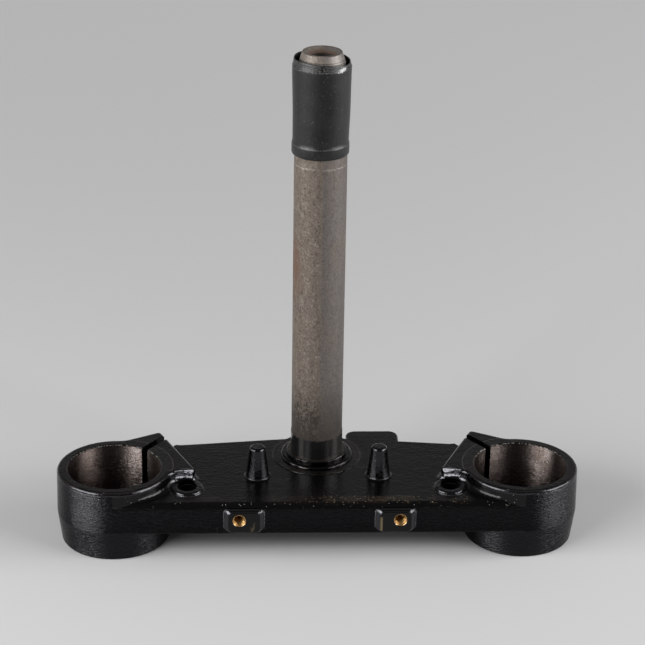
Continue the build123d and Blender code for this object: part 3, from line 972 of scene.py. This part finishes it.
class OBJECT_OT_set_studio(bpy.types.Operator):
    """Set the floor, the lights and the camera"""

    bl_idname = "object.set_studio"
    bl_label = "Set studio"

    # Lengths are in millimetres and angles in degrees. The room's light goes by the height and the
    # depth of a direction of length 1.
    camera_place = (-39.26, -913.46, 478.04)
    camera_azimuth = -2.588
    camera_elevation = 24.144
    camera_roll = 0.915
    sensor_width = 36.0
    floor_half = 4000.0
    floor_gap = 0.02
    # Painted shadow under the deck, and painted shade on the floor towards the camera.
    shadow_y = (DECK_FRONT + 17.0, 25.0)
    shadow_share = 0.60
    near_y = (-130.0, -430.0)
    near_share = 0.45
    far_y = (-50.0, 1250.0)
    light_away = 1270.0
    light_elevation = 22.0
    light_width = 1150.0
    light_height = 700.0
    left_azimuth = -60.0
    right_azimuth = 74.0
    dim_height = 0.66
    back_share = (-0.4, 0.5)

    def floor(self, context, look):
        """Pale floor with a painted shadow under the deck and painted shade towards the camera, and paler far
        behind.
        """
        mesh = bpy.data.meshes.new("studio_floor")
        half = self.floor_half
        low = YOKE_LOW.z - self.floor_gap
        corners = ((-half, -half, low), (half, -half, low), (half, half, low), (-half, half, low))
        mesh.from_pydata([Vector(corner) * MM for corner in corners], [], [(0, 1, 2, 3)])
        floor = bpy.data.objects.new("studio_floor", mesh)
        context.scene.collection.objects.link(floor)
        f = Finish("pale_floor", {"Roughness": 0.85, "Specular IOR Level": 0.1, "Emission Strength": 1.0})
        # Painted shadow under the deck between the clamps, and painted shade on the floor towards the camera.
        under = f.band(f.x, -FORK_X, FORK_X, 10.0) * f.band(f.y, *self.shadow_y, 8.0)
        near = f.rise(f.y, *self.near_y)
        dark = (under * self.shadow_share) | (near * self.near_share)
        ray = f.node("ShaderNodeLightPath", {}, {}, "Is Camera Ray")
        seen = ray | ray.output("Is Glossy Ray") | ray.output("Is Transmission Ray")
        f.feed(
            f.shader,
            Base_Color=f.mix(dark, rgba(look.floor), BLACK),
            Emission_Color=f.mix(seen * f.rise(f.y, *self.far_y), BLACK, rgba(look.glow)),
        )
        dress(floor, f)

    def softbox(self, context, name, azimuth, power):
        """Upright soft light, by its azimuth from the front, aimed at the part."""
        elevation = math.radians(self.light_elevation)
        flat = self.light_away * math.cos(elevation)
        turn = math.radians(azimuth)
        place = Vector((flat * math.sin(turn), -flat * math.cos(turn), self.light_away * math.sin(elevation)))
        lamp = bpy.data.lights.new(name, "AREA")
        lamp.shape = "RECTANGLE"
        lamp.size = self.light_width * MM
        lamp.size_y = self.light_height * MM
        lamp.energy = power
        box = bpy.data.objects.new(name, lamp)
        context.scene.collection.objects.link(box)
        box.location = place * MM
        box.rotation_euler = (-place).to_track_quat("-Z", "Y").to_euler()

    def surround(self, context, look):
        """Room that is pale behind the part near the floor, and dim overhead and in front."""
        world = bpy.data.worlds.new("studio_room")
        context.scene.world = world
        world.use_nodes = True
        room = Shading(world.node_tree)
        aim = room.node("ShaderNodeTexCoord", {}, {}, "Generated")
        back = room.node("ShaderNodeSeparateXYZ", {}, {0: aim}, "Y")
        up = back.output("Z")
        behind = room.blend(room.rise(up, 0.0, self.dim_height), look.horizon, look.overhead)
        light = room.blend(room.rise(back, *self.back_share), look.front, behind)
        room.feed(world.node_tree.nodes["Background"], Color=light)

    def camera(self, context, look):
        """Camera that sees the part as the photo does."""
        azimuth = math.radians(self.camera_azimuth)
        elevation = math.radians(self.camera_elevation)
        roll = math.radians(self.camera_roll)
        flat = math.cos(elevation)
        ahead = Vector((-math.sin(azimuth) * flat, math.cos(azimuth) * flat, -math.sin(elevation)))
        level = Vector((math.cos(azimuth), math.sin(azimuth), 0.0))
        upright = level.cross(ahead)
        right = math.cos(roll) * level + math.sin(roll) * upright
        up = math.cos(roll) * upright - math.sin(roll) * level
        turn = Matrix((right, up, -ahead)).transposed().to_4x4()
        data = bpy.data.cameras.new("photo_camera")
        data.sensor_width = self.sensor_width
        data.sensor_fit = "HORIZONTAL"
        data.lens = look.lens
        data.clip_start = 0.01
        camera = bpy.data.objects.new("photo_camera", data)
        context.scene.collection.objects.link(camera)
        camera.matrix_world = Matrix.Translation(Vector(self.camera_place) * MM) @ turn
        context.scene.camera = camera

    def execute(self, context):
        look = context.scene.studio
        self.floor(context, look)
        self.softbox(context, "left_softbox", self.left_azimuth, look.left)
        self.softbox(context, "right_softbox", self.right_azimuth, look.right)
        self.surround(context, look)
        self.camera(context, look)
        context.scene.view_settings.view_transform = "Standard"
        return {"FINISHED"}


OPERATORS = (
    OBJECT_OT_paint_yoke,
    OBJECT_OT_finish_stem,
    OBJECT_OT_make_sleeve,
    OBJECT_OT_make_lug_threads,
    OBJECT_OT_set_studio,
)
SETTINGS = {
    "clamp_paint": ClampPaint,
    "stem_steel": StemSteel,
    "sleeve_skin": SleeveSkin,
    "lug_thread": LugThread,
    "studio": Studio,
}


class VIEW3D_PT_triple_clamp(bpy.types.Panel):
    """Looks of the triple clamp"""

    bl_label = "Triple clamp"
    bl_space_type = "VIEW_3D"
    bl_region_type = "UI"
    bl_category = "Triple clamp"

    def draw(self, context):
        for (name, group), operator in zip(SETTINGS.items(), OPERATORS):
            box = self.layout.box()
            for key in group.__annotations__:
                box.prop(getattr(context.scene, name), key)
            box.operator(operator.bl_idname)


CLASSES = (*SETTINGS.values(), *OPERATORS, VIEW3D_PT_triple_clamp)


def register():
    for item in CLASSES:
        bpy.utils.register_class(item)
    for name, group in SETTINGS.items():
        setattr(bpy.types.Scene, name, PointerProperty(type=group))


def unregister():
    for name in SETTINGS:
        delattr(bpy.types.Scene, name)
    for item in reversed(CLASSES):
        bpy.utils.unregister_class(item)


def main():
    register()
    bpy.ops.object.paint_yoke()
    bpy.ops.object.finish_stem()
    bpy.ops.object.make_sleeve()
    bpy.ops.object.make_lug_threads()
    bpy.ops.object.set_studio()


if __name__ == "__main__":
    main()
